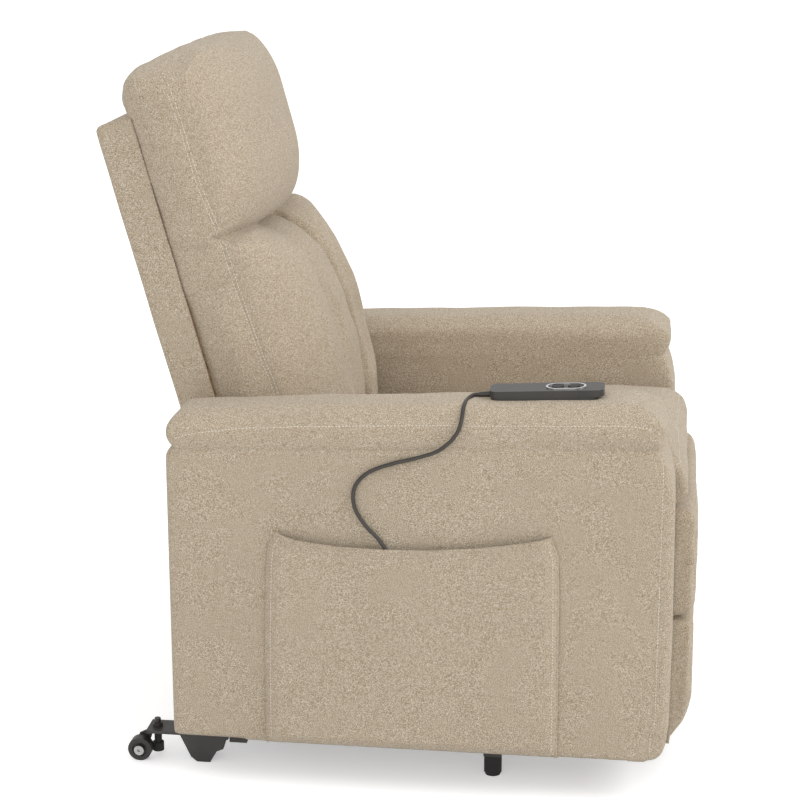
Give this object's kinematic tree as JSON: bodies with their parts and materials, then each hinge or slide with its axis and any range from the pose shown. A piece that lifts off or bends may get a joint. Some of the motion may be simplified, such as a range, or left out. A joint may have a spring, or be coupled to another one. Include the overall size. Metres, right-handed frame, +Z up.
{
  "type": "lift recliner chair",
  "caption": "Upholstered lift recliner chair: powered lift base that raises and tilts the seat, reclining cushioned back, fold-out foot rest, side pocket and corded handset.",
  "frame": {"origin": "on the floor, under the middle of the chair's footprint", "axes": "+Z up; the sitter faces -Y; the sitter's right hand, with pocket and handset, is at -X"},
  "size_m": [0.7725, 0.9266, 1.1277],
  "materials": {
    "upholstery": "woven heathered beige chenille, matt",
    "plywood": "raw plywood",
    "zinc_steel": "zinc plated",
    "webbing": "elastic webbing",
    "rubber_feet": "matt",
    "wheel_plastic": "matt",
    "black_plastic": "matt",
    "handset_plastic": "fine matt texture",
    "silver_trim": "satin silver",
    "button_rubber": "matt",
    "cord_jacket": "satin",
    "black_steel": "black powder coat"
  },
  "bodies": {
    "floor_base": {"base_side_tubes": "black_steel", "base_cross_tubes": "black_steel", "lift_uprights": "black_steel", "base_pivot_pins": "zinc_steel", "floor_feet": "rubber_feet", "wheel_brackets": "black_steel", "wheel_axles": "zinc_steel", "power_supply": "black_plastic"},
    "wheel_right": {"wheel_right": "wheel_plastic"},
    "wheel_left": {"wheel_left": "wheel_plastic"},
    "lift_arms": {"lift_arms": "black_steel", "lift_crossbar": "black_steel"},
    "guide_links": {"guide_links": "black_steel"},
    "chassis": {"side_plates": "black_steel", "chassis_crossbars": "black_steel", "chassis_pivot_pins": "zinc_steel", "seat_rails": "plywood", "seat_springs": "zinc_steel", "seat_cushion": "upholstery", "arm_boards_right": "plywood", "arm_boards_left": "plywood", "arm_cover_right": "upholstery", "arm_cover_left": "upholstery", "arm_pad_right": "upholstery", "arm_pad_left": "upholstery", "rear_panel": "upholstery", "side_pocket": "upholstery", "cord_grommet": "black_plastic", "control_box": "black_plastic", "footrest_track": "zinc_steel", "footrest_motor": "black_plastic", "handset_cord": "cord_jacket"},
    "lift_motor": {"lift_motor": "black_plastic"},
    "lift_motor_rod": {"lift_motor_rod": "zinc_steel"},
    "footrest_drive": {"footrest_drive_tube": "black_steel", "footrest_drive_links": "black_steel"},
    "footrest_support": {"footrest_support_links": "black_steel"},
    "footrest_long": {"footrest_long_links": "black_steel"},
    "footrest_twin": {"footrest_twin_links": "black_steel"},
    "footrest_carriage": {"footrest_carriage": "zinc_steel"},
    "footrest_push": {"footrest_push_link": "black_steel"},
    "footrest": {"footrest_brackets": "black_steel", "footrest_board": "plywood", "footrest_pad_upper": "upholstery", "footrest_pad_lower": "upholstery"},
    "back": {"back_rails": "plywood", "back_webbing": "webbing", "back_lever": "black_steel", "back_cover": "upholstery", "back_lumbar_cushion": "upholstery", "back_side_cushions": "upholstery", "head_pillow": "upholstery"},
    "back_motor": {"back_motor": "black_plastic"},
    "back_motor_rod": {"back_motor_rod": "zinc_steel"},
    "handset": {"handset_base": "handset_plastic", "handset_lid": "handset_plastic", "handset_ring": "silver_trim", "handset_strain_relief": "cord_jacket"},
    "button_up": {"button_up": "button_rubber"},
    "button_down": {"button_down": "button_rubber"}
  },
  "joints": [
    {"name": "wheel_right_spin", "type": "hinge", "parent": "floor_base", "child": "wheel_right", "pos_m": [0, 0.404, 0.019], "axis": [1, 0, 0], "continuous": true},
    {"name": "wheel_left_spin", "type": "hinge", "parent": "floor_base", "child": "wheel_left", "pos_m": [0, 0.404, 0.019], "axis": [1, 0, 0], "continuous": true},
    {"name": "lift", "type": "hinge", "parent": "floor_base", "child": "lift_arms", "pos_m": [0, -0.165, 0.178], "axis": [1, 0, 0], "range_deg": [0, 52]},
    {"name": "lift_guide_swing", "type": "hinge", "parent": "floor_base", "child": "guide_links", "pos_m": [0, -0.211, 0.165], "axis": [1, 0, 0], "range_deg": [0, 57.7]},
    {"name": "lift_chair_tilt", "type": "hinge", "parent": "lift_arms", "child": "chassis", "pos_m": [0, 0.257, 0.128], "axis": [1, 0, 0], "range_deg": [-28.6, 0]},
    {"name": "lift_motor_swing", "type": "hinge", "parent": "chassis", "child": "lift_motor", "pos_m": [0, 0.187, 0.315], "axis": [1, 0, 0], "range_deg": [0, 14.17]},
    {"name": "lift_motor_stroke", "type": "slide", "parent": "lift_motor", "child": "lift_motor_rod", "axis": [0, -0.6402, -0.7682], "range_m": [0, 0.08097]},
    {"name": "footrest", "type": "hinge", "parent": "chassis", "child": "footrest_drive", "pos_m": [0, -0.14, 0.336], "axis": [-1, 0, 0], "range_deg": [0, 95]},
    {"name": "footrest_support_swing", "type": "hinge", "parent": "chassis", "child": "footrest_support", "pos_m": [0, -0.195, 0.283], "axis": [-1, 0, 0], "range_deg": [0, 105.25]},
    {"name": "footrest_knee", "type": "hinge", "parent": "footrest_drive", "child": "footrest_long", "pos_m": [0, -0.15, 0.105], "axis": [1, 0, 0], "range_deg": [0, 135.49]},
    {"name": "footrest_twin_swing", "type": "hinge", "parent": "footrest_drive", "child": "footrest_twin", "pos_m": [0, -0.16294, 0.1533], "axis": [1, 0, 0], "range_deg": [0, 135.49]},
    {"name": "footrest_board_turn", "type": "hinge", "parent": "footrest_long", "child": "footrest", "pos_m": [0, -0.391, 0.285], "axis": [-1, 0, 0], "range_deg": [0, 135.49]},
    {"name": "footrest_carriage_slide", "type": "slide", "parent": "chassis", "child": "footrest_carriage", "axis": [0, 1, 0], "range_m": [0, 0.15461]},
    {"name": "footrest_push_swing", "type": "hinge", "parent": "footrest_carriage", "child": "footrest_push", "pos_m": [0, -0.2125, 0.23], "axis": [1, 0, 0], "range_deg": [0, 43.63]},
    {"name": "back_recline", "type": "hinge", "parent": "chassis", "child": "back", "pos_m": [0, 0.245, 0.398], "axis": [-1, 0, 0], "range_deg": [0, 28]},
    {"name": "back_motor_swing", "type": "hinge", "parent": "chassis", "child": "back_motor", "pos_m": [0, 0.06, 0.3], "axis": [-1, 0, 0], "range_deg": [0, 4.65]},
    {"name": "back_motor_stroke", "type": "slide", "parent": "back_motor", "child": "back_motor_rod", "axis": [0, 0.9654, -0.2607], "range_m": [-0.07348, 0]},
    {"name": "handset_lift_off", "type": "slide", "parent": "chassis", "child": "handset", "axis": [0, 0, 1], "range_m": [0, 0.06]},
    {"name": "button_up_press", "type": "slide", "parent": "handset", "child": "button_up", "axis": [0, -0.05, -0.9988], "range_m": [0, 0.0012], "stiffness_N_per_m": 400, "springref_m": -0.001},
    {"name": "button_down_press", "type": "slide", "parent": "handset", "child": "button_down", "axis": [0, -0.05, -0.9988], "range_m": [0, 0.0012], "stiffness_N_per_m": 400, "springref_m": -0.001}
  ],
  "couplings": [
    {"joint": "lift_guide_swing", "follows": "lift", "ratio": 1.0986},
    {"joint": "lift_chair_tilt", "follows": "lift", "ratio": -0.54456},
    {"joint": "lift_motor_swing", "follows": "lift", "ratio": 0.26978},
    {"joint": "lift_motor_stroke", "follows": "lift", "m_per_rad": 0.088334},
    {"joint": "footrest_support_swing", "follows": "footrest", "ratio": 1.0969},
    {"joint": "footrest_knee", "follows": "footrest", "ratio": 1.412},
    {"joint": "footrest_twin_swing", "follows": "footrest", "ratio": 1.412},
    {"joint": "footrest_board_turn", "follows": "footrest", "ratio": 1.412},
    {"joint": "footrest_carriage_slide", "follows": "footrest", "m_per_rad": 0.092323},
    {"joint": "footrest_push_swing", "follows": "footrest", "ratio": 0.45474},
    {"joint": "back_motor_swing", "follows": "back_recline", "ratio": 0.16434},
    {"joint": "back_motor_stroke", "follows": "back_recline", "m_per_rad": -0.14888}
  ]
}
